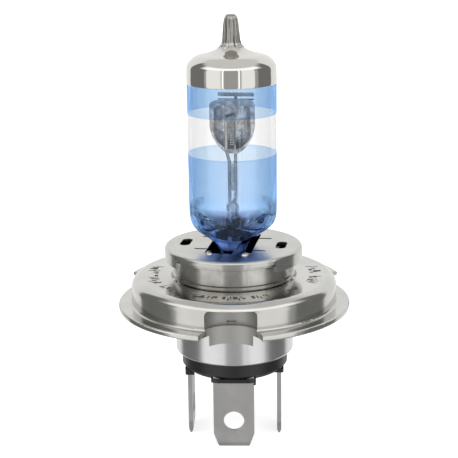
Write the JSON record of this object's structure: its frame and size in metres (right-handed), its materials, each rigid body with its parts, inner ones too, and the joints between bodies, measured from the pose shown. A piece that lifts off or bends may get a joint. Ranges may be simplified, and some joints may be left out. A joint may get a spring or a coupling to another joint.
{
  "type": "headlight bulb",
  "caption": "Twin-filament halogen headlight bulb with a mirrored tip, blue bands, round focus ring, aluminium shell and flat blade terminals.",
  "frame": {"origin": "on the bulb axis, in the plane of the ring's lug tops, which is the plane the lamp holder seats against", "axes": "+Z along the bulb axis towards the glass tip, -Y towards the ring's keyway, +X to the right seen from the keyway side"},
  "size_m": [0.043, 0.0423, 0.0786],
  "materials": {
    "stainless_sheet": "satin stamped sheet",
    "nickel_plated_sheet": "satin plate",
    "satin_aluminium": "brushed round the axis",
    "tinned_blade": "matt plated",
    "black_moulding": "moulded, slight sheen",
    "clear_glass": "clear",
    "mirror_coat": "mirror",
    "blue_coat": "clear tinted",
    "molybdenum": "drawn sheet, bright",
    "tungsten": "drawn wire, dull"
  },
  "bodies": {
    "root": {"glass_envelope": "clear_glass", "silver_tip_coating": "mirror_coat", "blue_band_upper": "blue_coat", "blue_band_lower": "blue_coat", "dipped_beam_shield": "molybdenum", "dipped_beam_filament": "tungsten", "main_beam_filament": "tungsten", "support_wire_common": "molybdenum", "support_wire_dipped": "molybdenum", "support_wire_main": "molybdenum", "foil_common": "molybdenum", "foil_dipped": "molybdenum", "foil_main": "molybdenum", "outer_lead_common": "molybdenum", "outer_lead_dipped": "molybdenum", "outer_lead_main": "molybdenum", "cap_plate": "nickel_plated_sheet", "pinch_clamp": "nickel_plated_sheet", "neck_ferrule": "nickel_plated_sheet", "weld_collar": "stainless_sheet", "focus_ring": "stainless_sheet", "lower_shell": "satin_aluminium", "insulator": "black_moulding", "terminal_common": "tinned_blade", "terminal_dipped": "tinned_blade", "terminal_main": "tinned_blade"}
  },
  "joints": []
}
